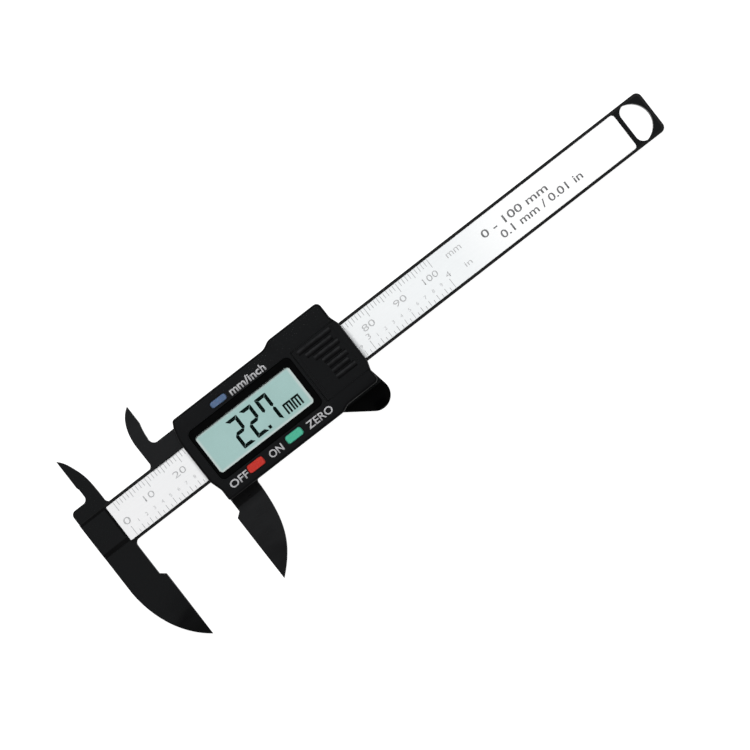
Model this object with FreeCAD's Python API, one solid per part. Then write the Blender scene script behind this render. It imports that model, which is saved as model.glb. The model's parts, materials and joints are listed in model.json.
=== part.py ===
import FreeCAD, Part
import math
import os

# Digital caliper, 0 to 100 mm, moulded in carbon-filled plastic. It lies on its back, display up.
# Working frame, in millimetres: X runs along the beam, from 0 at the fixed measuring face; Y runs
# across it, from 0 at the beam's centreline, with the inside jaws at +Y; Z is 0 on the back cover.
# At the end every node moves so that the origin is under the middle of the whole caliper.

V = FreeCAD.Vector

# Beam and fixed jaws
HEAD_END = -9.95
BEAM_END = 168.45
BEAM_HALF_WIDTH = 6.03
BEAM_LOW = 1.9
BEAM_HIGH = 5.9
LABEL_START = -1.9
LABEL_END = 159.8
LABEL_HALF_WIDTH = 5.27
LABEL_NEAR_CORNER = 0.2
LABEL_FAR_CORNER = 0.9
LABEL_MARGIN = 0.04
LABEL_BED = 5.15
BOARD_TOP = 5.55
LABEL_TOP = 5.65
LABEL_BEVEL_WIDTH = 0.65
LABEL_BEVEL_DEPTH = 0.22
HOLE_FLAT = 161.0
HOLE_SHOULDER = 163.1
HOLE_END = 167.35
FAR_CORNER_RADIUS = 1.6
FAR_CHAMFER = 0.75
GROOVE_HALF_WIDTH = 1.5
GROOVE_TOP = 3.0

# Jaws: the slider stands at the reading that the display shows
OPENING = 22.72
JAW_TIP = -36.5
JAW_HIGH = 5.1
JAW_RELIEF = 1.4
RELIEF_START = -6.4
RELIEF_END = -16.2
FACE_START = -17.3
JAW_ROOT_RUN = 2.7
FACE_BEVEL_START = -26.8
TIP_EDGE_THICKNESS = 0.5
TIP_BEVEL_ANGLE = 20
INSIDE_EDGE = -4.8
INSIDE_TIP = 22.0
CROSSING_HEIGHT = 3.9
CROSSING_GAP = 0.15
HEAD_LEDGE = 5.75
HEAD_LEDGE_RUN = 0.85
HEAD_LEDGE_DROP = 0.4
HEAD_STEP_MARGIN = 0.2
SLOPE_TOP = -3.9
SLOPE_FOOT = -5.0
SLOPE_DROP = 0.5
CREASE_WIDTH = 0.5
CREASE_DEPTH = 0.7
ARM_TOP = 10.45
ARM_HIGH = 6.7
LIP_EDGE = 5.4

# Slider housing: back cover, frame and front cover lie on each other
RUNNING_GAP = 0.15
FRAME_LOW = 1.7
RAIL_TOP = 6.15
FRAME_HIGH = 6.95
FACE_BACK = 12.9
FACE_TOP = 14.2
FACE_ROUNDING = 0.6
BACK_INSET = 0.35
BACK_ROUNDING = 0.6
GRIP_CORNER = -23.15
GRIP_SLOPE_START = -12.2
GRIP_SLOPE_END = -17.6
GRIP_SLOPE_DROP = 2.6
LEFT_EDGE = 23.1
RIGHT_EDGE = 73.0
TOP_EDGE = 12.15
TOP_EDGE_RAISED = 13.35
BOTTOM_EDGE = -12.6
BOTTOM_EDGE_RAISED = -11.7
CORE_POCKET = (59.5, 66.0, 9.3, 11.7)
CORE_POCKET_TOP = 12.0

# Travel: a boss on the back cover runs in the beam's groove and stops it at both ends
STOP_X = 66.7
STOP_LENGTH = 3.0
STOP_GAP = 0.1
TRAVEL_CLOSING = 22.7
TRAVEL_OPENING = 79.3

# Display and electronics
BAY = (24.6, 57.8, -11.25, 10.65)
BOARD = (25.9, 57.5, -11.0, 10.4)
BOARD_NOTCH_X = 29.4
BOARD_NOTCH_Y = 7.9
BOARD_THICKNESS = 1.0
BOARD_FACE = RAIL_TOP + BOARD_THICKNESS
WINDOW = (25.8, 57.9, -7.7, 7.3)
WINDOW_SEAT = 13.3
WINDOW_TOP = 14.0
VIEW = (26.7, 56.25, -6.03, 5.45)
PANEL = (26.0, 56.9, -7.6, 6.9)
PANEL_LOW = 11.0
PANEL_HIGH = 12.85
HOLDER = (25.3, 57.5, -8.0, 7.2)
HOLDER_INSIDE = (28.0, 55.4, -5.5, 5.5)
ZEBRA = (29.0, 54.4, -7.2, -6.0)
CHIP = (45.0, 0.0)
CHIP_RADIUS = 3.6
CHIP_HEIGHT = 1.1
COMPONENTS = ((52.6, -3.4), (52.6, 0.2), (37.8, 3.0), (37.8, -2.6))
COMPONENT_SIZE = (1.6, 0.9, 0.7)

# Buttons: name, low x, high x, low y, high y of each cap
BUTTONS = {
    "mm_inch": (34.95, 39.55, 8.1, 9.75),
    "off_on": (32.5, 37.25, -10.6, -8.4),
    "zero": (44.6, 49.35, -10.65, -8.5),
}
BUTTON_TOP = FACE_TOP + 0.25
BUTTON_GAP = 0.12
BUTTON_TRAVEL = 0.5
FLANGE_REACH = 0.9
FLANGE_SIDE = 0.15
STEM_HALF_LENGTH = 1.3
STEM_HALF_WIDTH = 0.85
PILL_RADIUS = 0.85
PILL_THICKNESS = 0.6
PILL_LOW = BOARD_FACE + BUTTON_TRAVEL + 0.05

# Battery: a round cell, 11.6 mm across and 5.4 mm thick
CELL_CENTRE = (65.3, -0.3)
CELL_RADIUS = 5.8
CELL_HEIGHT = 5.4
CELL_LOW = 7.2
BATTERY_LID = (58.9, -7.85, 7.25)
LID_GAP = 0.15
LID_BACK = 12.75
LID_END_WALL = 71.7
LID_TONGUE_END = 71.2
CONTACT_PAD_FACE = 58.95
CONTACT_PAD_TOP = 12.6
CONTACT_HALF_LENGTH = 3.6
TONGUE_WIDTH = 0.55
TONGUE_LOW = 12.85
TONGUE_HIGH = 13.35
SCOOP = (59.8, 71.2, -6.85, 6.7)
SCOOP_DEPTH = 0.6
RIB_PITCH = 1.78
RIB_COUNT = 7
RIB_WIDTH = 1.6
RIB_CREST_WIDTH = 0.45
RIB_FLANK = 0.3
RIB_HEIGHT = 0.5
RIB_FIRST_Y = 6.15
RIB_INSET = 1.3
RIB_STEP = 1.3
RIB_STEP_MOST = 4.2
RIB_END = 70.4
RIB_STAGGER = 0.8

# Screws
CASE_SCREWS = ((27.4, 9.75), (27.4, -9.9), (68.5, 10.7), (68.5, -10.15))
CASE_SCREW_RADIUS = 0.8
CASE_SCREW_TOP = 10.5
SCREW_HEAD_RADIUS = 1.55
SCREW_SUNK = 0.25
BOARD_SCREWS = ((54.6, 8.9), (54.6, -9.5), (31.4, 8.9))
BOARD_SCREW_RADIUS = 0.6
BOARD_SCREW_HEAD_RADIUS = 1.15
BOARD_SCREW_HEAD_HEIGHT = 0.75
BOARD_SCREW_TIP = 3.5
BOSS_RADIUS = 1.75
RECESS_HALF_WIDTH = 0.22

# Gib spring
SPRING_X = 48.15
SPRING_HALF_LENGTH = 16.0
SPRING_THICKNESS = 0.2
SPRING_BOW = 0.45
SPRING_LOW = 2.8
SPRING_HIGH = 4.8
SPRING_ROOM = 0.2


class Outline:
    """A closed outline in the XY plane, drawn edge by edge from its first point."""

    def __init__(self, x, y):
        self.start = V(x, y, 0)
        self.here = self.start
        self.edges = []

    def line(self, *points):
        for x, y in points:
            there = V(x, y, 0)
            self.edges.append(Part.LineSegment(self.here, there).toShape())
            self.here = there
        return self

    def arc(self, via, end):
        middle, there = V(*via, 0), V(*end, 0)
        self.edges.append(Part.Arc(self.here, middle, there).toShape())
        self.here = there
        return self

    def curve(self, *points):
        through = [self.here] + [V(x, y, 0) for x, y in points]
        spline = Part.BSplineCurve()
        spline.interpolate(through)
        self.edges.append(spline.toShape())
        self.here = through[-1]
        return self

    def wire(self):
        if (self.here - self.start).Length > 1e-6:
            self.line((self.start.x, self.start.y))
        return Part.Wire(self.edges)

    def solid(self, low, high):
        return raised(self.wire(), low, high)


def rounded_wire(corners):
    """Straight runs between corners, each corner (x, y, radius) rounded by a tangent arc."""
    arcs = []
    ends = []
    count = len(corners)
    for index, (x, y, radius) in enumerate(corners):
        here = V(x, y, 0)
        if radius == 0:
            arcs.append([])
            ends.append((here, here))
            continue
        before, after = corners[index - 1], corners[(index + 1) % count]
        back = (V(before[0], before[1], 0) - here).normalize()
        on = (V(after[0], after[1], 0) - here).normalize()
        half_angle = back.getAngle(on) / 2
        reach = radius / math.tan(half_angle)
        start, end = here + back * reach, here + on * reach
        inward = (back + on).normalize()
        middle = here + inward * (radius / math.sin(half_angle) - radius)
        arcs.append([Part.Arc(start, middle, end).toShape()])
        ends.append((start, end))
    edges = []
    for index in range(count):
        edges += arcs[index]
        edges.append(Part.LineSegment(ends[index][1], ends[(index + 1) % count][0]).toShape())
    return Part.Wire(edges)


def raised(wire, low, high):
    face = Part.Face(wire)
    face.translate(V(0, 0, low))
    return face.extrude(V(0, 0, high - low))


def block(x0, x1, y0, y1, low, high):
    return Part.makeBox(x1 - x0, y1 - y0, high - low, V(x0, y0, low))


def rounded_block(x0, x1, y0, y1, low, high, radius):
    """A block whose four upright edges are rounded."""
    solid = block(x0, x1, y0, y1, low, high)
    upright = [edge for edge in solid.Edges if abs(edge.tangentAt(edge.FirstParameter).z) > 0.99]
    return solid.makeFillet(radius, upright)


def post(x, y, radius, low, high):
    return Part.makeCylinder(radius, high - low, V(x, y, low))


def edges_at(solid, height, keep=None):
    """The edges that lie at one height, or only those whose middle the test keeps."""
    found = []
    for edge in solid.Edges:
        box = edge.BoundBox
        flat = abs(box.ZMin - height) < 1e-4 and abs(box.ZMax - height) < 1e-4
        if flat and (keep is None or keep(box.Center)):
            found.append(edge)
    return found


def rectangle_grown(rectangle, margin):
    x0, x1, y0, y1 = rectangle
    return (x0 - margin, x1 + margin, y0 - margin, y1 + margin)


def jaw_bevels(face_x, toward, low, high):
    """Two wedges that thin a jaw's tip from the front and the back. toward is -1 when the jaw
    reaches from its measuring face towards -X, and 1 when it reaches towards +X."""
    middle = (low + high) / 2
    half_edge = TIP_EDGE_THICKNESS / 2
    run = FACE_BEVEL_START - JAW_TIP
    wedges = []
    reach = 15
    for surface, edge in ((high, middle + half_edge), (low, middle - half_edge)):
        outside = surface + (surface - middle)
        profile = Part.makePolygon([
            V(0, 0, surface),
            V(0, -run, edge),
            V(0, -2 * run, edge),
            V(0, -2 * run, outside),
            V(0, 0, outside),
            V(0, 0, surface),
        ])
        wedge = Part.Face(profile).extrude(V(2 * reach, 0, 0))
        wedge.translate(V(-reach, 0, 0))
        wedge.rotate(V(0, 0, 0), V(0, 0, 1), -TIP_BEVEL_ANGLE * toward)
        wedge.translate(V(face_x, FACE_BEVEL_START, 0))
        wedges.append(wedge)
    return wedges


# ---------------------------------------------------------------- beam and scale

def fixed_outside_jaw():
    outline = Outline(HEAD_END, -3.0)
    outline.line((HEAD_END, -16.0))
    outline.curve((-9.3, -21.1), (-7.4, -27.0), (-4.4, -32.1), (0, JAW_TIP))
    outline.line((0, FACE_START), (-JAW_RELIEF, RELIEF_END), (-JAW_RELIEF, RELIEF_START - 0.7))
    outline.arc((-1.1, RELIEF_START - 0.1), (-0.3, -BEAM_HALF_WIDTH))
    outline.line((-0.3, -3.0))
    return outline.solid(BEAM_LOW, JAW_HIGH)


def fixed_inside_jaw():
    """The rear half of the crossing pair, with the top of the head."""
    outline = Outline(HEAD_END, 3.0)
    outline.line((HEAD_END, 8.1))
    outline.arc((HEAD_END + 0.4, 9.0), (HEAD_END + 1.3, 9.4))
    outline.line((-5.9, 9.4))
    outline.arc((-4.95, 9.8), (-4.55, 10.75))
    outline.line((-4.55, 12.9), (INSIDE_EDGE, 13.6), (INSIDE_EDGE, INSIDE_TIP))
    outline.curve((-3.5, 20.4), (-2.4, 18.0), (-1.4, 14.8), (-1.0, 11.0), (-0.95, 7.4))
    outline.arc((-0.75, 6.45), (-0.3, BEAM_HALF_WIDTH))
    outline.line((-0.3, 3.0))
    return outline.solid(BEAM_LOW, CROSSING_HEIGHT - CROSSING_GAP)


def hanging_hole(low, high):
    shoulder = LABEL_HALF_WIDTH + 0.05
    outline = Outline(HOLE_FLAT, -3.3)
    outline.line((HOLE_FLAT, 3.3))
    outline.arc((HOLE_FLAT + 0.6, 4.6), (HOLE_SHOULDER, shoulder))
    outline.arc((HOLE_END, 0), (HOLE_SHOULDER, -shoulder))
    outline.arc((HOLE_FLAT + 0.6, -4.6), (HOLE_FLAT, -3.3))
    return outline.solid(low, high)


def head_steps():
    """What is cut off the head's front: a sloping ledge above it, and below it a slope that ends
    in a crease along the outside jaw."""
    start = HEAD_END - 1
    end = LABEL_START - HEAD_STEP_MARGIN
    low_y, high_y = -BEAM_HALF_WIDTH - 1, BEAM_HALF_WIDTH + 1
    crossing = CROSSING_HEIGHT - CROSSING_GAP
    ledge = Part.makePolygon([
        V(start, HEAD_LEDGE - HEAD_LEDGE_RUN, BEAM_HIGH),
        V(start, HEAD_LEDGE, BEAM_HIGH - HEAD_LEDGE_DROP),
        V(start, HEAD_LEDGE, crossing),
        V(start, high_y, crossing),
        V(start, high_y, BEAM_HIGH + 1),
        V(start, HEAD_LEDGE - HEAD_LEDGE_RUN, BEAM_HIGH + 1),
        V(start, HEAD_LEDGE - HEAD_LEDGE_RUN, BEAM_HIGH),
    ])
    crease = SLOPE_FOOT - CREASE_WIDTH
    slope = Part.makePolygon([
        V(start, SLOPE_TOP, BEAM_HIGH),
        V(start, SLOPE_FOOT, BEAM_HIGH - SLOPE_DROP),
        V(start, SLOPE_FOOT, JAW_HIGH - CREASE_DEPTH),
        V(start, crease, JAW_HIGH - CREASE_DEPTH),
        V(start, crease, JAW_HIGH),
        V(start, low_y, JAW_HIGH),
        V(start, low_y, BEAM_HIGH + 1),
        V(start, SLOPE_TOP, BEAM_HIGH + 1),
        V(start, SLOPE_TOP, BEAM_HIGH),
    ])
    return [Part.Face(profile).extrude(V(end - start, 0, 0)) for profile in (ledge, slope)]


def label_bevel():
    """The bevel from the head's front down to the label, along the label's near end."""
    low, high = SLOPE_TOP + 2 * HEAD_STEP_MARGIN, LABEL_HALF_WIDTH - HEAD_STEP_MARGIN
    start, end = LABEL_START - LABEL_BEVEL_WIDTH, LABEL_START + LABEL_NEAR_CORNER
    foot = BEAM_HIGH - LABEL_BEVEL_DEPTH
    profile = Part.makePolygon([
        V(start, low, BEAM_HIGH),
        V(LABEL_START, low, foot),
        V(end, low, foot),
        V(end, low, BEAM_HIGH + 1),
        V(start, low, BEAM_HIGH + 1),
        V(start, low, BEAM_HIGH),
    ])
    return Part.Face(profile).extrude(V(0, high - low, 0))


def beam():
    bar = block(HEAD_END, BEAM_END, -BEAM_HALF_WIDTH, BEAM_HALF_WIDTH, BEAM_LOW, BEAM_HIGH)
    far_corners = [
        edge for edge in bar.Edges
        if edge.BoundBox.XMin > BEAM_END - 0.1 and edge.BoundBox.ZLength > 1
    ]
    bar = bar.makeFillet(FAR_CORNER_RADIUS, far_corners)
    end_edges = edges_at(bar, BEAM_HIGH, lambda middle: middle.x > BEAM_END - 2)
    bar = bar.makeChamfer(FAR_CHAMFER, end_edges)
    bar = bar.cut(head_steps())
    solid = bar.fuse([fixed_outside_jaw(), fixed_inside_jaw()]).removeSplitter()
    bed = label_shape(0, LABEL_BED, BEAM_HIGH + 1)
    groove = block(
        STOP_X - TRAVEL_CLOSING - STOP_GAP,
        STOP_X + STOP_LENGTH + TRAVEL_OPENING + STOP_GAP,
        -GROOVE_HALF_WIDTH, GROOVE_HALF_WIDTH, BEAM_LOW - 1, GROOVE_TOP,
    )
    cuts = [bed, label_bevel(), groove, hanging_hole(BEAM_LOW - 1, BEAM_HIGH + 1)]
    return solid.cut(cuts + jaw_bevels(0, -1, BEAM_LOW, JAW_HIGH))


def label_shape(margin, low, high):
    """The label's outline, drawn in by a margin: almost sharp at the head, rounded at the far end."""
    half = LABEL_HALF_WIDTH - margin
    wire = rounded_wire([
        (LABEL_START + margin, half, LABEL_NEAR_CORNER),
        (LABEL_START + margin, -half, LABEL_NEAR_CORNER),
        (LABEL_END - margin, -half, LABEL_FAR_CORNER),
        (LABEL_END - margin, half, LABEL_FAR_CORNER),
    ])
    return raised(wire, low, high)


def label_layer(low, high):
    return label_shape(LABEL_MARGIN, low, high)


# ---------------------------------------------------------------- slider housing

def housing_wire():
    """The slider's own outline, without its jaws and thumb grip: x, y and radius of each corner."""
    relief = OPENING + JAW_RELIEF
    return rounded_wire([
        (LEFT_EDGE, -6.0, 5.0),
        (LEFT_EDGE, 6.6, 5.0),
        (24.0, 10.2, 1.5),
        (25.0, TOP_EDGE, 1.0),
        (54.0, TOP_EDGE, 4.0),
        (56.2, TOP_EDGE_RAISED, 3.0),
        (72.1, TOP_EDGE_RAISED, 1.4),
        (72.1, 8.4, 3.0),
        (RIGHT_EDGE, 5.9, 2.5),
        (RIGHT_EDGE, -5.9, 2.5),
        (72.2, -8.3, 2.0),
        (72.3, BOTTOM_EDGE_RAISED, 1.2),
        (62.3, BOTTOM_EDGE_RAISED, 3.0),
        (60.3, BOTTOM_EDGE, 3.0),
        (relief, BOTTOM_EDGE, 0.6),
        (relief, -9.2, 3.0),
    ])


def thumb_grip():
    """The grip below the battery lid: a ramp for the thumb, down and away from the housing."""
    root = BOTTOM_EDGE + 0.1
    wire = rounded_wire([
        (72.2, -5.0, 0),
        (72.2, -8.4, 2.0),
        (74.95, GRIP_CORNER, 4.1),
        (60.05, root, 0),
        (60.2, -5.0, 0),
    ])
    start, end = 58, RIGHT_EDGE + 6
    profile = Part.makePolygon([
        V(start, GRIP_SLOPE_START, FRAME_HIGH),
        V(start, GRIP_SLOPE_END, FRAME_HIGH - GRIP_SLOPE_DROP),
        V(start, GRIP_SLOPE_END, FRAME_HIGH + 1),
        V(start, GRIP_SLOPE_START, FRAME_HIGH + 1),
        V(start, GRIP_SLOPE_START, FRAME_HIGH),
    ])
    slope = Part.Face(profile).extrude(V(end - start, 0, 0))
    return raised(wire, FRAME_LOW, FRAME_HIGH).cut(slope)


def moving_outside_jaw():
    relief = OPENING + JAW_RELIEF
    outline = Outline(relief, -8.0)
    outline.line((relief, RELIEF_END), (OPENING, FACE_START), (OPENING, JAW_TIP))
    outline.curve((26.15, -33.2), (29.0, -29.3), (31.05, -24.3), (32.0, -19.4), (32.4, -14.5))
    outline.line((32.4, -13.4))
    outline.arc((32.55, -12.9), (33.0, BOTTOM_EDGE + 0.1))
    outline.line((33.0, -8.0))
    return outline.solid(BEAM_LOW, JAW_HIGH)


def jaw_root_slope():
    """The slope from the frame's front face down to the outside jaw."""
    profile = Part.makePolygon([
        V(0, BOTTOM_EDGE + 0.5, JAW_HIGH - 0.5),
        V(0, BOTTOM_EDGE + 0.5, FRAME_HIGH),
        V(0, BOTTOM_EDGE, FRAME_HIGH),
        V(0, BOTTOM_EDGE - JAW_ROOT_RUN, JAW_HIGH),
        V(0, BOTTOM_EDGE - JAW_ROOT_RUN, JAW_HIGH - 0.5),
        V(0, BOTTOM_EDGE + 0.5, JAW_HIGH - 0.5),
    ])
    start = OPENING + JAW_RELIEF + 0.35
    slope = Part.Face(profile).extrude(V(32.35 - start, 0, 0))
    slope.translate(V(start, 0, 0))
    return slope


def moving_inside_jaw():
    """The front half of the crossing pair, with the arm that carries it."""
    face = INSIDE_EDGE + OPENING
    outline = Outline(13.0, LIP_EDGE)
    outline.line((13.0, BEAM_HALF_WIDTH + 0.1))
    outline.arc((13.45, 6.5), (13.65, 7.2))
    outline.line((13.6, 13.0))
    outline.curve((14.05, 16.2), (15.6, 19.8), (face, INSIDE_TIP))
    outline.line((face, 16.8))
    outline.curve((17.5, 15.2), (17.2, 12.6))
    outline.arc((17.6, 10.9), (19.0, ARM_TOP))
    outline.line((25.5, ARM_TOP), (25.5, LIP_EDGE))
    return outline.solid(CROSSING_HEIGHT + CROSSING_GAP, ARM_HIGH)


def slider_frame():
    body = raised(housing_wire(), FRAME_LOW, FRAME_HIGH)
    parts = [thumb_grip(), moving_outside_jaw(), jaw_root_slope(), moving_inside_jaw()]
    solid = body.fuse(parts).removeSplitter()
    half = BEAM_HALF_WIDTH + RUNNING_GAP
    channel = block(0, 90, -half, half, FRAME_LOW - 1, RAIL_TOP)
    board_bed = rounded_block(*rectangle_grown(BOARD, 0.1), RAIL_TOP, FRAME_HIGH + 1, 0.8)
    left, right = BOARD[0] - 1, BOARD_NOTCH_X
    bosses = [
        block(left, right - 0.1, BOARD_NOTCH_Y + 0.1, 12, RAIL_TOP, FRAME_HIGH + 1),
        block(left, right - 0.1, -12, -BOARD_NOTCH_Y - 0.1, RAIL_TOP, FRAME_HIGH + 1),
    ]
    spring_slot = block(
        SPRING_X - SPRING_HALF_LENGTH - 0.5, SPRING_X + SPRING_HALF_LENGTH + 0.5,
        half - 0.5, half + SPRING_BOW + SPRING_ROOM, SPRING_LOW - SPRING_ROOM, SPRING_HIGH + SPRING_ROOM,
    )
    holes = [post(x, y, CASE_SCREW_RADIUS, 0, FACE_TOP) for x, y in CASE_SCREWS]
    pilots = [
        post(x, y, BOARD_SCREW_RADIUS, BOARD_SCREW_TIP - 0.1, FRAME_HIGH) for x, y in BOARD_SCREWS
    ]
    solid = solid.cut([channel, board_bed.cut(bosses), spring_slot] + holes + pilots)
    return solid.cut(jaw_bevels(OPENING, 1, BEAM_LOW, JAW_HIGH))


def back_cover():
    plate = raised(housing_wire().makeOffset2D(-BACK_INSET), 0, FRAME_LOW)
    plate = plate.makeFillet(BACK_ROUNDING, edges_at(plate, 0))
    boss = rounded_block(
        STOP_X, STOP_X + STOP_LENGTH, -GROOVE_HALF_WIDTH + 0.2, GROOVE_HALF_WIDTH - 0.2,
        FRAME_LOW - 0.5, GROOVE_TOP - 0.2, 0.4,
    )
    solid = plate.fuse(boss).removeSplitter()
    return solid.cut([case_screw_space(x, y) for x, y in CASE_SCREWS])


def housing_blank():
    blank = raised(housing_wire(), FRAME_HIGH, FACE_TOP)
    return blank.makeFillet(FACE_ROUNDING, edges_at(blank, FACE_TOP))


def lid_space(margin):
    """The space of the battery lid in the front cover, grown by a margin, open to the +X end."""
    start, low_y, high_y = BATTERY_LID
    plate = block(start - margin, RIGHT_EDGE + 1, low_y - margin, high_y + margin, FRAME_HIGH, FACE_TOP + 1)
    tongues = block(
        start + 0.6 - margin, RIGHT_EDGE + 1,
        low_y - TONGUE_WIDTH - margin, high_y + TONGUE_WIDTH + margin,
        TONGUE_LOW - margin, TONGUE_HIGH + margin,
    )
    return plate.fuse(tongues)


def front_cover():
    blank = housing_blank()
    x0, x1, y0, y1 = BAY
    bay = rounded_block(x0, x1, y0, y1, FRAME_HIGH - 1, FACE_BACK, 1.0)
    bosses = [post(x, y, BOSS_RADIUS, FRAME_HIGH - 1, FACE_BACK) for x, y in CASE_SCREWS[:2]]
    seat = rounded_block(*rectangle_grown(WINDOW, 0.1), WINDOW_SEAT, FACE_TOP + 1, 1.6)
    view = rounded_block(*VIEW, FACE_BACK - 1, FACE_TOP + 1, 1.0)
    wells = [
        rounded_block(*rectangle_grown(cap, BUTTON_GAP), FACE_BACK - 1, FACE_TOP + 1, 0.7)
        for cap in BUTTONS.values()
    ]
    pocket = block(*CORE_POCKET, FRAME_HIGH - 1, CORE_POCKET_TOP)
    pilots = [post(x, y, CASE_SCREW_RADIUS, FRAME_HIGH - 1, CASE_SCREW_TOP) for x, y in CASE_SCREWS]
    x, y = CELL_CENTRE
    reach = CONTACT_HALF_LENGTH + 0.4
    pad = block(x - 9, CONTACT_PAD_FACE, y - reach, y + reach, FRAME_HIGH, CONTACT_PAD_TOP)
    cuts = [bay.cut(bosses), seat, view, lid_space(LID_GAP).cut(pad), pocket] + wells + pilots
    return blank.cut(cuts)


def display_window():
    plate = rounded_block(*WINDOW, WINDOW_SEAT, WINDOW_TOP, 1.5)
    return plate.makeChamfer(0.15, edges_at(plate, WINDOW_TOP))


# ---------------------------------------------------------------- electronics

def circuit_board():
    x0, x1, y0, y1 = BOARD
    plate = rounded_block(x0, x1, y0, y1, RAIL_TOP, BOARD_FACE, 0.7)
    notches = [
        block(x0 - 1, BOARD_NOTCH_X, BOARD_NOTCH_Y, y1 + 1, 0, FACE_TOP),
        block(x0 - 1, BOARD_NOTCH_X, y0 - 1, -BOARD_NOTCH_Y, 0, FACE_TOP),
    ]
    holes = [post(x, y, BOARD_SCREW_RADIUS, 0, FACE_TOP) for x, y in BOARD_SCREWS]
    return plate.cut(notches + holes)


def chip_blob():
    """The dome of resin over the bare chip."""
    radius = (CHIP_RADIUS ** 2 + CHIP_HEIGHT ** 2) / (2 * CHIP_HEIGHT)
    centre = V(CHIP[0], CHIP[1], BOARD_FACE + CHIP_HEIGHT - radius)
    dome = Part.makeSphere(radius, centre)
    return dome.common(block(CHIP[0] - 9, CHIP[0] + 9, -9, 9, BOARD_FACE, BOARD_FACE + 9))


def surface_components():
    length, width, height = COMPONENT_SIZE
    return [
        rounded_block(x, x + length, y, y + width, BOARD_FACE, BOARD_FACE + height, 0.1)
        for x, y in COMPONENTS
    ]


def zebra_strip():
    return rounded_block(*ZEBRA, BOARD_FACE, PANEL_LOW, 0.2)


def display_holder():
    x0, x1, y0, y1 = HOLDER
    ring = rounded_block(x0, x1, y0, y1, BOARD_FACE, PANEL_LOW, 1.0)
    lip = rounded_block(x0, x1, y0, y1, PANEL_LOW, PANEL_HIGH - 0.9, 1.0)
    lip = lip.cut(block(*rectangle_grown(PANEL, 0.05), PANEL_LOW - 1, FACE_TOP))
    inside = rounded_block(*HOLDER_INSIDE, 0, FACE_TOP, 1.0)
    slot = rounded_block(*rectangle_grown(ZEBRA, 0.05), 0, FACE_TOP, 0.2)
    return ring.cut([inside, slot]).fuse(lip).removeSplitter()


def display_panel():
    """Two sheets of glass: the rear one reaches out below as the contact ledge."""
    x0, x1, y0, y1 = PANEL
    middle = (PANEL_LOW + PANEL_HIGH) / 2
    rear = block(x0, x1, y0, y1, PANEL_LOW, middle)
    front = block(x0, x1, y0 + 1.4, y1, middle, PANEL_HIGH)
    return rear.fuse(front).removeSplitter()


def button(cap):
    """A cap, the flange that keeps it in, and the stem that carries the contact pill."""
    x0, x1, y0, y1 = cap
    top = rounded_block(x0, x1, y0, y1, FACE_BACK - 0.7, BUTTON_TOP, 0.6)
    top = top.makeFillet(0.25, edges_at(top, BUTTON_TOP))
    flange = rounded_block(
        x0 - FLANGE_REACH, x1 + FLANGE_REACH, y0 - FLANGE_SIDE, y1 + FLANGE_SIDE,
        FACE_BACK - 0.7, FACE_BACK - 0.1, 0.5,
    )
    middle_x, middle_y = (x0 + x1) / 2, (y0 + y1) / 2
    stem = rounded_block(
        middle_x - STEM_HALF_LENGTH, middle_x + STEM_HALF_LENGTH,
        middle_y - STEM_HALF_WIDTH, middle_y + STEM_HALF_WIDTH,
        PILL_LOW + PILL_THICKNESS, FACE_BACK - 0.5, 0.3,
    )
    return top.fuse([flange, stem]).removeSplitter()


def contact_pill(cap):
    x0, x1, y0, y1 = cap
    return post((x0 + x1) / 2, (y0 + y1) / 2, PILL_RADIUS, PILL_LOW, PILL_LOW + PILL_THICKNESS)


# ---------------------------------------------------------------- battery

def battery_cell():
    """A can with a smaller negative cap at the bottom."""
    x, y = CELL_CENTRE
    can = post(x, y, CELL_RADIUS, CELL_LOW + 0.35, CELL_LOW + CELL_HEIGHT)
    can = can.makeFillet(0.35, edges_at(can, CELL_LOW + CELL_HEIGHT))
    cap = post(x, y, CELL_RADIUS - 1.2, CELL_LOW, CELL_LOW + 0.4)
    return can.fuse(cap).removeSplitter()


def negative_contact():
    """A flat strip on the battery bay's floor."""
    x, y = CELL_CENTRE
    disc = post(x, y, 3.2, FRAME_HIGH, CELL_LOW)
    tail = block(59.0, x, y - 1.2, y + 1.2, FRAME_HIGH, CELL_LOW)
    return disc.fuse(tail).removeSplitter()


def positive_contact():
    """A strip bent to a shallow V that lies on the front cover's pad and presses on the can."""
    x, y = CELL_CENTRE
    wall = CONTACT_PAD_FACE
    crest = x - CELL_RADIUS
    thickness = 0.2
    low_y, high_y = y - CONTACT_HALF_LENGTH, y + CONTACT_HALF_LENGTH
    outline = Outline(wall, low_y)
    outline.line((crest - thickness, y), (wall, high_y), (wall + thickness, high_y))
    outline.line((crest, y), (wall + thickness, low_y))
    return outline.solid(CELL_LOW + 0.6, CELL_LOW + 4.6)


def lid_rib(index):
    """A grip rib along X, steep above its crest and sloping below. The upper ones start further
    left."""
    y = RIB_FIRST_Y - index * RIB_PITCH
    start = BATTERY_LID[0] + RIB_INSET + min(index * RIB_STEP, RIB_STEP_MOST)
    end = RIB_END - (RIB_STAGGER if index % 2 else 0)
    floor = FACE_TOP - SCOOP_DEPTH
    low = (floor + LID_BACK) / 2
    top = floor + RIB_HEIGHT
    crest = y + RIB_WIDTH / 2 - RIB_FLANK
    profile = Part.makePolygon([
        V(start, y - RIB_WIDTH / 2, low),
        V(start, y - RIB_WIDTH / 2, floor),
        V(start, crest - RIB_CREST_WIDTH, top),
        V(start, crest, top),
        V(start, y + RIB_WIDTH / 2, floor),
        V(start, y + RIB_WIDTH / 2, low),
        V(start, y - RIB_WIDTH / 2, low),
    ])
    return Part.Face(profile).extrude(V(end - start, 0, 0))


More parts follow.
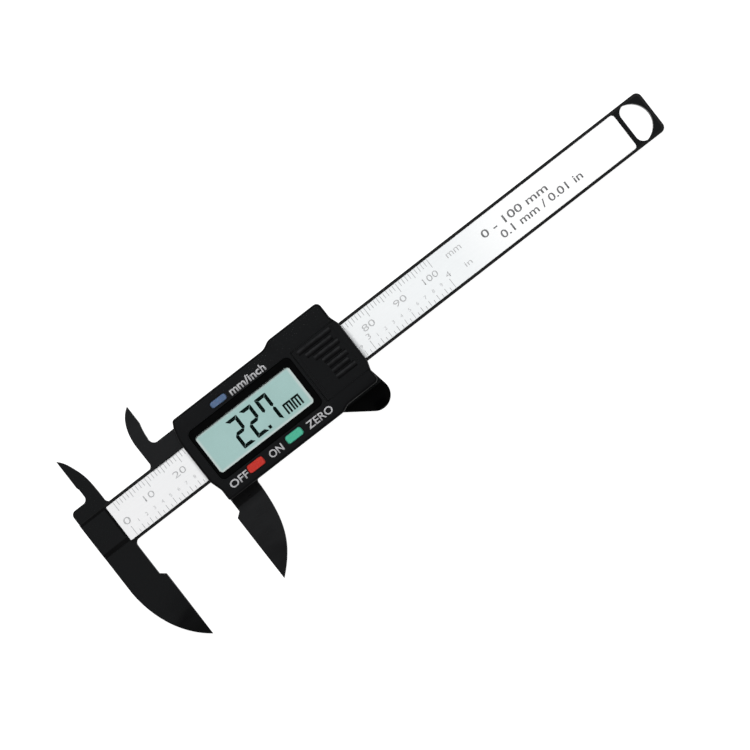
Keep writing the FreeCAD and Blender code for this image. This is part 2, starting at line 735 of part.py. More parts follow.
def battery_lid():
    space = lid_space(0)
    inside = block(
        BATTERY_LID[0] - 1, LID_END_WALL, BATTERY_LID[1] - 1, BATTERY_LID[2] + 1, FRAME_HIGH - 1, LID_BACK
    )
    floor_gap = block(BATTERY_LID[0] - 1, RIGHT_EDGE + 2, -12, 12, FRAME_HIGH - 1, FRAME_HIGH + LID_GAP)
    end_tongues = [
        block(LID_TONGUE_END, RIGHT_EDGE + 1, BATTERY_LID[2], 12, FRAME_HIGH, FACE_TOP),
        block(LID_TONGUE_END, RIGHT_EDGE + 1, -12, BATTERY_LID[1], FRAME_HIGH, FACE_TOP),
    ]
    lid = housing_blank().common(space).cut([inside, floor_gap] + end_tongues)
    scoop = rounded_block(*SCOOP, FACE_TOP - SCOOP_DEPTH, FACE_TOP + 1, 1.0)
    ribs = [lid_rib(index) for index in range(RIB_COUNT)]
    return lid.cut(scoop).fuse(ribs).removeSplitter()


# ---------------------------------------------------------------- springs and screws

def gib_spring():
    """The bowed brass strip that takes up play between the frame's top rail and the beam."""
    start, end = SPRING_X - SPRING_HALF_LENGTH, SPRING_X + SPRING_HALF_LENGTH
    crest = BEAM_HALF_WIDTH + 0.04
    foot = crest + SPRING_BOW
    outline = Outline(start, foot)
    outline.arc((SPRING_X, crest), (end, foot))
    outline.line((end, foot + SPRING_THICKNESS))
    outline.arc((SPRING_X, crest + SPRING_THICKNESS), (start, foot + SPRING_THICKNESS))
    return outline.solid(SPRING_LOW, SPRING_HIGH)


def cross_recess(x, y, low, high, reach):
    half = RECESS_HALF_WIDTH
    arms = block(x - reach, x + reach, y - half, y + half, low, high)
    return arms.fuse(block(x - half, x + half, y - reach, y + reach, low, high))


def case_screw_blank(x, y):
    shank = post(x, y, CASE_SCREW_RADIUS, SCREW_SUNK, CASE_SCREW_TOP - 0.3)
    head = Part.makeCone(SCREW_HEAD_RADIUS, CASE_SCREW_RADIUS, 0.8, V(x, y, SCREW_SUNK))
    return shank.fuse(head).removeSplitter()


def case_screw(x, y):
    """Countersunk, driven from the back through the frame into the front cover."""
    return case_screw_blank(x, y).cut(cross_recess(x, y, 0, 0.8, 0.95))


def case_screw_space(x, y):
    """The countersunk hole in the back cover."""
    return case_screw_blank(x, y).fuse(post(x, y, SCREW_HEAD_RADIUS, -1, SCREW_SUNK))


def board_screw(x, y):
    """Pan head, holds the circuit board on the frame."""
    head_top = BOARD_FACE + BOARD_SCREW_HEAD_HEIGHT
    head = post(x, y, BOARD_SCREW_HEAD_RADIUS, BOARD_FACE, head_top)
    head = head.makeFillet(0.3, edges_at(head, head_top))
    shank = post(x, y, BOARD_SCREW_RADIUS, BOARD_SCREW_TIP, BOARD_FACE)
    return head.fuse(shank).removeSplitter().cut(
        cross_recess(x, y, BOARD_FACE + 0.3, BOARD_FACE + 2, 0.8)
    )


def nodes():
    """Every sub-part by its name: one solid, or a list of solids for a group of like pieces."""
    made = {
        "beam": beam(),
        "scale_board": label_layer(LABEL_BED, BOARD_TOP),
        "scale_label": label_layer(BOARD_TOP, LABEL_TOP),
        "slider_frame": slider_frame(),
        "back_cover": back_cover(),
        "front_cover": front_cover(),
        "display_window": display_window(),
        "display_panel": display_panel(),
        "display_holder": display_holder(),
        "zebra_strip": zebra_strip(),
        "circuit_board": circuit_board(),
        "chip_blob": chip_blob(),
        "surface_components": surface_components(),
        "battery_cell": battery_cell(),
        "negative_contact": negative_contact(),
        "positive_contact": positive_contact(),
        "battery_lid": battery_lid(),
        "gib_spring": gib_spring(),
        "case_screws": [case_screw(x, y) for x, y in CASE_SCREWS],
        "board_screws": [board_screw(x, y) for x, y in BOARD_SCREWS],
    }
    for name, cap in BUTTONS.items():
        made["button_" + name] = button(cap)
        made["contact_pill_" + name] = contact_pill(cap)
    return made


def main():
    made = nodes()
    shift = V(-(HEAD_END + BEAM_END) / 2, -(INSIDE_TIP + JAW_TIP) / 2, 0)
    os.makedirs("parts", exist_ok=True)
    for name, solids in made.items():
        shape = Part.Compound(solids) if isinstance(solids, list) else solids
        count = len(shape.Solids)
        wanted = len(solids) if isinstance(solids, list) else 1
        print(f"{name}: {count} of {wanted} solids, valid {shape.isValid()}, {shape.Volume:.1f} mm3")
        if not isinstance(solids, list):
            shape = shape.Solids[0]
        shape = shape.copy()
        shape.translate(shift)
        shape.exportStep("parts/" + name + ".step")


main()
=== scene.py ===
import bmesh
import bpy
import json
import math
from mathutils import Matrix, Vector

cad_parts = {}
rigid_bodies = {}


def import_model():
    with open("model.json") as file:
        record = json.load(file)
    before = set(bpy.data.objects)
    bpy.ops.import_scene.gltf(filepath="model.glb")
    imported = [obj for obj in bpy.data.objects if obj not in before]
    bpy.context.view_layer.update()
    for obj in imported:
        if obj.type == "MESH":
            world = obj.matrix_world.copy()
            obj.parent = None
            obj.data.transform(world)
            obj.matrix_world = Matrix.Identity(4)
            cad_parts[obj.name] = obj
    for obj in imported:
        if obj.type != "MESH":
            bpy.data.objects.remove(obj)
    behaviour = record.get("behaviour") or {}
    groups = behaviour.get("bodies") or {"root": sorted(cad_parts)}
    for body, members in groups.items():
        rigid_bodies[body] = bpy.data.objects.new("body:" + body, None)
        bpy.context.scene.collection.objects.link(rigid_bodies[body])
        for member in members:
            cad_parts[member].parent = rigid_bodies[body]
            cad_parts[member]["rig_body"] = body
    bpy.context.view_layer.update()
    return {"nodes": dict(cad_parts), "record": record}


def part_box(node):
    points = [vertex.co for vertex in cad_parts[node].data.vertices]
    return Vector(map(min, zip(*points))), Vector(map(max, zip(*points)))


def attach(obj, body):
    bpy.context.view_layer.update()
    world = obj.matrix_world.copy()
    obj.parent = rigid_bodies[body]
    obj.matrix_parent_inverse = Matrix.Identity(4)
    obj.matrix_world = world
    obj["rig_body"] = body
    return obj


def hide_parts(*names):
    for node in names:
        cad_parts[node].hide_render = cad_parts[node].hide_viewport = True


# The looks of a digital caliper that lies on its back. Lengths are in millimetres where a name or a
# comment doesn't say otherwise, and MM turns them into the scene's metres.

MM = 0.001

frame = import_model()
nodes = frame["nodes"]
mounts = {mount["name"]: Vector(mount["pos_m"]) for mount in frame["record"]["mounts"]}


def centre(node):
    low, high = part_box(node)
    return (low + high) / 2


# The scale's zero on the beam, and the middle of the display on the slider
ZERO_FROM_FACE = 0.3
SCALE = Vector((
    mounts["fixed_outside_face"].x + ZERO_FROM_FACE * MM,
    mounts["hanging_hole"].y,
    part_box("scale_label")[1].z,
))
DISPLAY = centre("display_panel") + Vector((-0.05, 0.15, 0)) * MM
FACE_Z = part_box("front_cover")[1].z
PANEL_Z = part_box("display_panel")[1].z
PRINT_THICKNESS = 0.01
LETTER_MERGE = 0.001
CAPITAL_SHARE = 0.729  # a capital's height over the font's size

# The front cover's display opening, which the window's mask follows
VIEW_MIDDLE = DISPLAY + Vector((0.075, -0.1, 0)) * MM
VIEW_HALF = (14.9, 5.67)
VIEW_CORNER = 1.0
MASK_BLUR = 0.02
MASK_BLACK = ((0.0006, 0.0006, 0.0006), (0.0012, 0.0012, 0.0012))
MIRRORED_SHARE = 0.003
MIRRORED_AT_GRAZING = 0.9
LABEL_EDGE = (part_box("scale_label")[1].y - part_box("scale_label")[0].y) / 2 / MM

# View: straight down, turned so that the beam rises to the right
BEAM_ANGLE = math.radians(37.83)
VIEW_CENTRE = SCALE + Vector((71.93, -10.01, 0)) * MM
VIEW_WIDTH = 189.06
SENSOR = 36.0

# The stage. Distances and sizes are in metres, and a light's offset is from the view's centre.
CAMERA_HEIGHT = 1.5
CAMERA_RANGE = (0.01, 10.0)
FLOOR_HALF_SIZE = 3.0
FLOOR_GLOW = 1.0
FLOOR_GLOW_MIRRORED = 0.4
OVERHEAD = {"offset": (-0.03, 0.5, 1.6), "size": (0.35, 0.6), "watts": 30.5}
SHEEN = {"offset": (0.0, 0.28, 1.7), "size": (1.2, 0.9), "watts": 2.05, "colour": (0.90, 0.96, 1.0)}
SKY = ((0.08, 0.5), (0.25, 0.07), (1.0, 0.03))  # levels of grey from the horizon up
FLOOR_DROP = 0.02 * MM


# ---------------------------------------------------------------- node helpers

class Shader:
    """A material's node tree, with short calls for the nodes that the materials here need."""

    def __init__(self, name):
        self.material = bpy.data.materials.new(name)
        self.material.use_nodes = True
        self.tree = self.material.node_tree
        self.tree.nodes.clear()
        self.output = self.node("ShaderNodeOutputMaterial")
        self.where = self.node("ShaderNodeTexCoord").outputs["Object"]

    def node(self, kind, **settings):
        made = self.tree.nodes.new(kind)
        for key, value in settings.items():
            setattr(made, key, value)
        return made

    def feed(self, socket, value):
        if isinstance(value, bpy.types.NodeSocket):
            self.tree.links.new(value, socket)
        else:
            socket.default_value = value

    def noise(self, size, detail=2.0, roughness=0.5, stretch=(1, 1, 1)):
        """Noise from 0 to 1 with features of a size in millimetres, stretched along the axes."""
        mapping = self.node("ShaderNodeMapping")
        self.feed(mapping.inputs["Vector"], self.where)
        mapping.inputs["Scale"].default_value = [1 / (size * MM * s) for s in stretch]
        texture = self.node("ShaderNodeTexNoise")
        self.feed(texture.inputs["Vector"], mapping.outputs[0])
        texture.inputs["Scale"].default_value = 1.0
        texture.inputs["Detail"].default_value = detail
        texture.inputs["Roughness"].default_value = roughness
        return texture.outputs["Fac"]

    def axis(self, letter):
        parts = self.node("ShaderNodeSeparateXYZ")
        self.feed(parts.inputs[0], self.where)
        return parts.outputs[letter]

    def math(self, operation, a, b=0.0, clamp=False):
        made = self.node("ShaderNodeMath", operation=operation, use_clamp=clamp)
        self.feed(made.inputs[0], a)
        self.feed(made.inputs[1], b)
        return made.outputs[0]

    def spread(self, value, low, high, out_low=0.0, out_high=1.0):
        made = self.node("ShaderNodeMapRange", clamp=True)
        for socket, given in zip(made.inputs, (value, low, high, out_low, out_high)):
            self.feed(socket, given)
        return made.outputs[0]

    def colours(self, factor, *stops):
        """A colour ramp through (position, (red, green, blue)) stops."""
        ramp = self.node("ShaderNodeValToRGB").color_ramp
        while len(ramp.elements) < len(stops):
            ramp.elements.new(0.5)
        for element, (position, colour) in zip(ramp.elements, stops):
            element.position = position
            element.color = (*colour, 1)
        made = self.tree.nodes[-1]
        self.feed(made.inputs[0], factor)
        return made.outputs["Color"]

    def mix(self, factor, a, b, blend="MIX"):
        made = self.node("ShaderNodeMix", data_type="RGBA", blend_type=blend)
        for socket, given in zip((made.inputs[0], made.inputs[6], made.inputs[7]), (factor, a, b)):
            self.feed(socket, given)
        return made.outputs[2]

    def bump(self, height, depth, strength=1.0, under=None):
        """A bump of a depth in millimetres."""
        made = self.node("ShaderNodeBump")
        made.inputs["Strength"].default_value = strength
        made.inputs["Distance"].default_value = depth * MM
        self.feed(made.inputs["Height"], height)
        if under is not None:
            self.feed(made.inputs["Normal"], under)
        return made.outputs[0]

    def principled(self, **values):
        surface = self.node("ShaderNodeBsdfPrincipled")
        for key, value in values.items():
            self.feed(surface.inputs[key.replace("_", " ")], value)
        self.feed(self.output.inputs["Surface"], surface.outputs[0])
        return surface


def solid_colour(colour):
    return (*colour, 1)


# ---------------------------------------------------------------- materials

PLASTIC_GRAIN = 0.16
PLASTIC_ROUGHNESS = (0.24, 0.34)
PLASTIC_SHINE = 0.2
RIB_CRESTS = (0.5, 0.08)  # from how far to how far under the cover's face the rib crests get a painted highlight
# The painted highlight on the rib crests: how it fades out above them, and its paler colour
CREST_HIGHLIGHT_EDGE = 0.05
CREST_HIGHLIGHT_TONE = (0.017, 0.017, 0.018)
# The colour of the painted shade over the thumb grip
PAINTED_SHADE_TONE = (0.0011, 0.0011, 0.0012)
PAINTED_SHADE_RUN = 10  # how far before the grip the painted shade, a deeper black, starts


def moulded_plastic(name, dark, light, crest_highlight=None, painted_shade=None):
    """Carbon-filled plastic: spark-eroded grain, faint flow marks and handling shine. Between the
    two heights given for rib crests it is painted paler, a painted highlight, and between the two
    places along X given for the grip it turns a deeper black, a painted shade."""
    s = Shader(name)
    grains = s.noise(PLASTIC_GRAIN, 3.0, 0.6)
    cloud = s.noise(9.0, 3.0, 0.55)
    flow = s.noise(2.2, 2.0, 0.5, stretch=(5, 1, 1))
    tone = s.math("ADD", s.math("MULTIPLY", cloud, 0.6), s.math("MULTIPLY", flow, 0.4))
    colour = s.colours(tone, (0.3, dark), (0.7, light))
    speck = s.spread(grains, 0.62, 0.74)
    colour = s.mix(s.math("MULTIPLY", speck, 0.25), colour, solid_colour([c * 2.2 for c in light]))
    roughness = s.spread(tone, 0.3, 0.7, *PLASTIC_ROUGHNESS)
    # Painted highlight: the rib crests turn paler in patches, as where light catches them
    if crest_highlight:
        low, high = crest_highlight
        rise = s.spread(s.axis("Z"), low, high)
        fall = s.spread(s.axis("Z"), high, high + CREST_HIGHLIGHT_EDGE * MM, 1.0, 0.0)
        patchy = s.spread(s.noise(1.6, 3.0, 0.6), 0.35, 0.6, 0.45, 1.0)
        painted_highlight = s.math("MULTIPLY", s.math("MULTIPLY", rise, fall), patchy)
        colour = s.mix(painted_highlight, colour, solid_colour(CREST_HIGHLIGHT_TONE))
    # Painted shade: a deeper black along X over the thumb grip, where the housing shades it
    if painted_shade:
        colour = s.mix(s.spread(s.axis("X"), *painted_shade), colour, solid_colour(PAINTED_SHADE_TONE))
    normal = s.bump(flow, 0.03, 0.25)
    normal = s.bump(grains, 0.005, 0.4, under=normal)
    s.principled(
        Base_Color=colour, Roughness=roughness, Normal=normal, Specular_IOR_Level=PLASTIC_SHINE
    )
    return s.material


# Along X, where painted light makes the label brighter towards its far end, in two steps
LABEL_PAINTED_LIGHT = (-80, 20)
LABEL_PAINTED_GLARE = (27, 46)


def label_film():
    """Satin silver-white film: fine brushed lines along the beam, and painted light that makes it
    brighter towards the far end.
    """
    s = Shader("scale_label")
    lines = s.noise(0.09, 2.0, 0.5, stretch=(60, 1, 1))
    cloud = s.noise(14.0, 2.0, 0.5)
    # Painted light: the film turns paler and bluer along X, then white with its lines fading at the
    # far end
    along = s.spread(s.axis("X"), *(x * MM for x in LABEL_PAINTED_LIGHT))
    base = s.mix(along, (0.845, 0.845, 0.85, 1), (0.87, 0.893, 0.9, 1))
    far = s.spread(s.axis("X"), *(x * MM for x in LABEL_PAINTED_GLARE))
    base = s.mix(far, base, (1, 1, 1, 1))
    tone = s.math("ADD", s.math("MULTIPLY", lines, 0.7), s.math("MULTIPLY", cloud, 0.3))
    shade = s.colours(tone, (0.25, (0.93, 0.93, 0.935)), (0.7, (1.0, 1.0, 1.0)))
    shade = s.mix(s.math("MULTIPLY", far, 0.8), shade, (1, 1, 1, 1))
    colour = s.mix(1.0, base, shade, "MULTIPLY")
    s.principled(
        Base_Color=colour,
        Roughness=s.spread(tone, 0.3, 0.7, 0.38, 0.5),
        Normal=s.bump(lines, 0.004, 0.35),
        Metallic=0.0,
        Coat_Weight=0.15,
        Coat_Roughness=0.25,
    )
    return s.material


def printed_ink(name, colour, coverage=0.75):
    """Screen-printed ink: a little uneven, with pinholes."""
    s = Shader(name)
    patch = s.noise(0.5, 3.0, 0.6)
    pinholes = s.spread(s.noise(0.06, 2.0, 0.6), 0.60, 0.72)
    lighter = [min(1.0, c * 1.35) for c in colour]
    thin = solid_colour([min(1.0, c * 1.8) for c in colour])
    base = s.colours(patch, (0.3, colour), (0.75, lighter))
    base = s.mix(s.math("MULTIPLY", pinholes, 1 - coverage), base, thin)
    s.principled(
        Base_Color=base,
        Roughness=s.spread(patch, 0.3, 0.7, 0.55, 0.7),
        Normal=s.bump(patch, 0.004, 0.4),
        Specular_IOR_Level=0.05,
    )
    return s.material


# How far from the display's middle its face turns pale, across and up
PALE_ACROSS = (13.9, 14.5)
PALE_UP = (4.9, 5.4)


def display_face():
    """Grey-green liquid crystal: a fine-grained reflector under a polariser, paler at its edges."""
    s = Shader("display_glass")
    grain = s.noise(0.05, 2.0, 0.6)
    cloud = s.noise(8.0, 2.0, 0.5)
    across = s.math("ABSOLUTE", s.math("SUBTRACT", s.axis("X"), DISPLAY.x))
    up = s.math("ABSOLUTE", s.math("SUBTRACT", s.axis("Y"), DISPLAY.y - 0.1 * MM))
    side = s.spread(across, *(x * MM for x in PALE_ACROSS))
    edge = s.math("MAXIMUM", side, s.spread(up, *(y * MM for y in PALE_UP)))
    base = s.colours(cloud, (0.3, (0.335, 0.483, 0.47)), (0.7, (0.36, 0.512, 0.504)))
    base = s.mix(s.math("MULTIPLY", edge, 0.75), base, (0.59, 0.605, 0.60, 1))
    base = s.mix(s.math("MULTIPLY", grain, 0.12), base, (0.75, 0.85, 0.82, 1))
    s.principled(
        Base_Color=base,
        Roughness=s.spread(grain, 0.3, 0.7, 0.5, 0.62),
        Normal=s.bump(grain, 0.003, 0.3),
        Specular_IOR_Level=0.05,
    )
    return s.material


def clear_window():
    """A thin clear plate with a black mask printed round the view. What is behind shows straight
    through, under the plate's own reflections."""
    s = Shader("clear_window")
    beyond = []
    for letter, middle, half in zip("XY", VIEW_MIDDLE, VIEW_HALF):
        away = s.math("ABSOLUTE", s.math("SUBTRACT", s.axis(letter), middle))
        past = s.math("MAXIMUM", s.math("SUBTRACT", away, (half - VIEW_CORNER) * MM), 0.0)
        beyond.append(s.math("POWER", past, 2.0))
    distance = s.math("SQRT", s.math("ADD", beyond[0], beyond[1]))
    mask = s.spread(distance, (VIEW_CORNER - MASK_BLUR) * MM, (VIEW_CORNER + MASK_BLUR) * MM)
    ink = s.node("ShaderNodeBsdfDiffuse")
    mask_tone = s.colours(s.noise(2.0), (0.3, MASK_BLACK[0]), (0.7, MASK_BLACK[1]))
    s.feed(ink.inputs["Color"], mask_tone)
    smear = s.noise(6.0, 3.0, 0.6)
    gloss = s.node("ShaderNodeBsdfGlossy")
    s.feed(gloss.inputs["Roughness"], s.spread(smear, 0.35, 0.75, 0.04, 0.14))
    s.feed(gloss.inputs["Color"], (1, 1, 1, 1))
    through = s.node("ShaderNodeBsdfTransparent")
    through.inputs["Color"].default_value = (0.97, 0.985, 0.98, 1)
    facing = s.node("ShaderNodeLayerWeight")
    facing.inputs["Blend"].default_value = 0.5
    grazing = s.math("POWER", facing.outputs["Facing"], 5.0)
    share = s.math(
        "ADD", s.math("MULTIPLY", grazing, MIRRORED_AT_GRAZING), MIRRORED_SHARE, clamp=True
    )
    masked = s.node("ShaderNodeMixShader")
    s.feed(masked.inputs[0], mask)
    s.feed(masked.inputs[1], through.outputs[0])
    s.feed(masked.inputs[2], ink.outputs[0])
    both = s.node("ShaderNodeMixShader")
    s.feed(both.inputs[0], share)
    s.feed(both.inputs[1], masked.outputs[0])
    s.feed(both.inputs[2], gloss.outputs[0])
    s.feed(s.output.inputs["Surface"], both.outputs[0])
    return s.material


def silicone(name, colour):
    """A soft, slightly dusty silicone cap."""
    s = Shader(name)
    dust = s.noise(0.35, 4.0, 0.65)
    fine = s.noise(0.08, 2.0, 0.6)
    pale = [min(1.0, c * 1.12 + 0.02) for c in colour]
    base = s.colours(dust, (0.35, colour), (0.75, pale))
    s.principled(
        Base_Color=base,
        Roughness=s.spread(dust, 0.3, 0.7, 0.48, 0.66),
        Normal=s.bump(fine, 0.008, 0.5),
        Subsurface_Weight=0.15,
        Subsurface_Scale=0.8 * MM,
        Specular_IOR_Level=0.3,
    )
    return s.material


def metal(name, colour, rough=(0.25, 0.4), stretch=(12, 1, 1)):
    """Rolled or plated metal with fine directional lines and a faint tarnish."""
    s = Shader(name)
    lines = s.noise(0.05, 2.0, 0.5, stretch=stretch)
    tarnish = s.noise(2.5, 4.0, 0.6)
    dull = [c * 0.72 for c in colour]
    base = s.colours(tarnish, (0.3, dull), (0.62, colour))
    s.principled(
        Base_Color=base,
        Metallic=1.0,
        Roughness=s.spread(lines, 0.3, 0.7, rough[0], rough[1]),
        Normal=s.bump(lines, 0.003, 0.5),
    )
    return s.material


def solder_mask():
    """Green board lacquer with copper tracks just visible under it."""
    s = Shader("circuit_board")
    weave = s.noise(0.5, 2.0, 0.5)
    tracks = s.spread(s.math("ABSOLUTE", s.math("SUBTRACT", s.noise(2.4, 0.0), 0.5)), 0.012, 0.03)
    base = s.colours(weave, (0.3, (0.01, 0.085, 0.035)), (0.7, (0.02, 0.13, 0.055)))
    base = s.mix(tracks, (0.05, 0.22, 0.09, 1), base)
    s.principled(
        Base_Color=base,
        Roughness=s.spread(weave, 0.3, 0.7, 0.25, 0.36),
        Normal=s.bump(tracks, 0.03, 0.5),
    )
    return s.material


def plain_moulding(name, dark, light, rough):
    """Unpainted inner moulding or rubber: soft mottling and a fine grain."""
    s = Shader(name)
    mottle = s.noise(1.4, 3.0, 0.6)
    fine = s.noise(0.1, 2.0, 0.6)
    s.principled(
        Base_Color=s.colours(mottle, (0.3, dark), (0.7, light)),
        Roughness=s.spread(mottle, 0.3, 0.7, rough - 0.06, rough + 0.08),
        Normal=s.bump(fine, 0.01, 0.4),
    )
    return s.material


def zebra_rubber():
    """Elastomer strip in alternate conducting and insulating layers."""
    s = Shader("zebra_rubber")
    stripes = s.math("FRACT", s.math("MULTIPLY", s.axis("X"), 1 / (0.2 * MM)))
    base = s.colours(stripes, (0.45, (0.02, 0.02, 0.02)), (0.55, (0.42, 0.40, 0.38)))
    s.principled(Base_Color=base, Roughness=s.spread(s.noise(0.3), 0.3, 0.7, 0.55, 0.7))
    return s.material


def floor_paint():
    """White sweep that glows like a light table, so that no shadow shows on it. It glows less in
    reflections, so that rounded black edges stay black."""
    s = Shader("floor")
    mottle = s.noise(60.0, 2.0, 0.5)
    tone = s.colours(mottle, (0.2, (0.20, 0.20, 0.20)), (0.8, (0.22, 0.22, 0.22)))
    mirrored = s.node("ShaderNodeLightPath").outputs["Is Glossy Ray"]
    s.principled(
        Base_Color=tone,
        Roughness=0.9,
        Specular_IOR_Level=0.0,
        Emission_Color=(1.0, 1.0, 1.0, 1.0),
        Emission_Strength=s.spread(mirrored, 0.0, 1.0, FLOOR_GLOW, FLOOR_GLOW_MIRRORED),
    )
    return s.material


BLACK = ((0.0022, 0.0022, 0.0024), (0.0038, 0.0038, 0.0041))
BEAM_BLACK = ((0.0030, 0.0030, 0.0032), (0.0052, 0.0052, 0.0055))
JAW_BLACK = ((0.0058, 0.0058, 0.0061), (0.0108, 0.0108, 0.0114))
CARBON_BLACK = ((0.012, 0.012, 0.012), (0.03, 0.03, 0.03))
materials = {
    "black_plastic": moulded_plastic("black_plastic", *BLACK),
    "scale_label": label_film(),
    "circuit_board": solder_mask(),
    "clear_window": clear_window(),
    "display_glass": display_face(),
    "white_plastic": plain_moulding("white_plastic", (0.66, 0.66, 0.64), (0.76, 0.76, 0.74), 0.45),
    "zebra_rubber": zebra_rubber(),
    "chip_resin": plain_moulding("chip_resin", (0.008, 0.008, 0.009), (0.018, 0.018, 0.02), 0.18),
    "ceramic_parts": plain_moulding("ceramic_parts", (0.30, 0.21, 0.13), (0.40, 0.29, 0.19), 0.4),
    "cell_steel": metal("cell_steel", (0.62, 0.61, 0.59), (0.16, 0.28)),
    "contact_brass": metal("contact_brass", (0.75, 0.62, 0.34), (0.2, 0.34)),
    "screw_steel": metal("screw_steel", (0.50, 0.50, 0.50), (0.24, 0.4), (1, 1, 1)),
    "blue_button": silicone("blue_button", (0.080, 0.128, 0.225)),
    "red_button": silicone("red_button", (0.44, 0.026, 0.018)),
    "green_button": silicone("green_button", (0.063, 0.38, 0.25)),
    "carbon_rubber": plain_moulding("carbon_rubber", *CARBON_BLACK, 0.7),
}
slots = {part["node"]: part["material_slot"] for part in frame["record"]["subparts"]}
for node, thing in nodes.items():
    thing.data.materials.clear()
    thing.data.materials.append(materials[slots[node]])


# ---------------------------------------------------------------- mouldings with rounded edges

MERGE_DISTANCE = 0.002
FLAT_ANGLE = math.radians(0.6)
SHARP_ANGLE = math.radians(18)


def softened(node, width, plastic):
    """A piece with the node's own shape and its sharp edges rounded, as a mould leaves them."""
    source = nodes[node]
    shape = bmesh.new()
    shape.from_mesh(source.data)
    bmesh.ops.remove_doubles(shape, verts=shape.verts, dist=MERGE_DISTANCE * MM)
    bmesh.ops.dissolve_limit(shape, angle_limit=FLAT_ANGLE, verts=shape.verts, edges=shape.edges)
    bmesh.ops.triangulate(shape, faces=[face for face in shape.faces if len(face.verts) > 4])
    mesh = bpy.data.meshes.new(node + "_moulding")
    shape.to_mesh(mesh)
    shape.free()
    if "custom_normal" in mesh.attributes:
        mesh.attributes.remove(mesh.attributes["custom_normal"])
    mesh.shade_smooth()
    mesh.materials.clear()
    mesh.materials.append(plastic)
    piece = bpy.data.objects.new(node + "_moulding", mesh)
    bpy.context.scene.collection.objects.link(piece)
    bevel = piece.modifiers.new("rounding", "BEVEL")
    bevel.width = width * MM
    bevel.segments = 2
    bevel.limit_method = "ANGLE"
    bevel.angle_limit = SHARP_ANGLE
    bevel.harden_normals = True
    bevel.use_clamp_overlap = True
    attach(piece, source["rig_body"])
    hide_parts(node)


grip_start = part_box("battery_lid")[0].x
rib_crests = [FACE_Z - depth * MM for depth in RIB_CRESTS]
# Jaw plastic, with painted shade over the thumb grip
jaw_black = moulded_plastic(
    "black_plastic_jaws", *JAW_BLACK, painted_shade=(grip_start - PAINTED_SHADE_RUN * MM, grip_start)
)
beam_black = moulded_plastic("black_plastic_beam", *BEAM_BLACK)
# Lid plastic, with a painted highlight on its rib crests
grip_black = moulded_plastic("black_plastic_grip", *BLACK, crest_highlight=rib_crests)
for node, width, plastic in (
    ("beam", 0.14, beam_black),
    ("slider_frame", 0.14, jaw_black),
    ("front_cover", 0.12, materials["black_plastic"]),
    ("back_cover", 0.12, materials["black_plastic"]),
    ("battery_lid", 0.1, grip_black),
):
    softened(node, width, plastic)


# ---------------------------------------------------------------- printing

def raise_polygon(shape, points, low, high):
    """Adds a closed prism over points that run anticlockwise, in metres."""
    bottom = [shape.verts.new((x, y, low)) for x, y in points]
    top = [shape.verts.new((x, y, high)) for x, y in points]
    shape.faces.new(reversed(bottom))
    shape.faces.new(top)
    count = len(points)
    for i in range(count):
        j = (i + 1) % count
        shape.faces.new((bottom[i], bottom[j], top[j], top[i]))


class Print:
    """Ink on a surface, as thin closed shapes at places in millimetres from an origin."""

    def __init__(self, name, origin, surface_z, material, body, slot):
        self.name, self.origin, self.low = name, origin, surface_z
        self.high = surface_z + PRINT_THICKNESS * MM
        self.material, self.body, self.slot = material, body, slot
        self.shape = bmesh.new()

    def polygon(self, *points):
        placed = [(self.origin.x + x * MM, self.origin.y + y * MM) for x, y in points]
        raise_polygon(self.shape, placed, self.low, self.high)

    def bar(self, x0, x1, y0, y1):
        self.polygon((x0, y0), (x1, y0), (x1, y1), (x0, y1))

    def text(self, words, x, y, height, width=None, weight=0.0, stretch=1.0, align="CENTER"):
        """Words with capitals of a height, centred on y. A width fits them to that length."""
        curve = bpy.data.curves.new("words", "FONT")
        curve.body = words
        curve.size = height * MM / CAPITAL_SHARE
        curve.align_x = "LEFT"
        curve.offset = weight * MM
        curve.resolution_u = 3
        holder = bpy.data.objects.new("words", curve)
        bpy.context.scene.collection.objects.link(holder)
        bpy.context.view_layer.update()
        evaluated = holder.evaluated_get(bpy.context.evaluated_depsgraph_get())
        flat = bpy.data.meshes.new_from_object(evaluated)
        bpy.data.objects.remove(holder)
        bpy.data.curves.remove(curve)
        left = min(v.co.x for v in flat.vertices)
        right = max(v.co.x for v in flat.vertices)
        scale_x = width * MM / (right - left) if width else stretch
        span = (right - left) * scale_x
        start = {"LEFT": 0.0, "CENTER": -span / 2, "RIGHT": -span}[align]
        place = Matrix.Translation((
            self.origin.x + x * MM + start,
            self.origin.y + (y - height / 2) * MM,
            self.low,
        )) @ Matrix.Diagonal((scale_x, 1, 1, 1)) @ Matrix.Translation((-left, 0, 0))
        flat.transform(place)
        letters = bmesh.new()
        letters.from_mesh(flat)
        bpy.data.meshes.remove(flat)
        bmesh.ops.remove_doubles(letters, verts=letters.verts, dist=LETTER_MERGE * MM)
        grown = bmesh.ops.extrude_face_region(letters, geom=letters.faces[:])
        lifted = [g for g in grown["geom"] if isinstance(g, bmesh.types.BMVert)]
        bmesh.ops.translate(letters, verts=lifted, vec=(0, 0, self.high - self.low))
        bmesh.ops.recalc_face_normals(letters, faces=letters.faces)
        mesh = bpy.data.meshes.new("letters")
        letters.to_mesh(mesh)
        letters.free()
        self.shape.from_mesh(mesh)
        bpy.data.meshes.remove(mesh)

    def finish(self):
        bmesh.ops.recalc_face_normals(self.shape, faces=self.shape.faces)
        mesh = bpy.data.meshes.new(self.name)
        self.shape.to_mesh(mesh)
        self.shape.free()
        mesh.materials.append(self.material)
        piece = bpy.data.objects.new(self.name, mesh)
        bpy.context.scene.collection.objects.link(piece)
        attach(piece, self.body)
        return piece


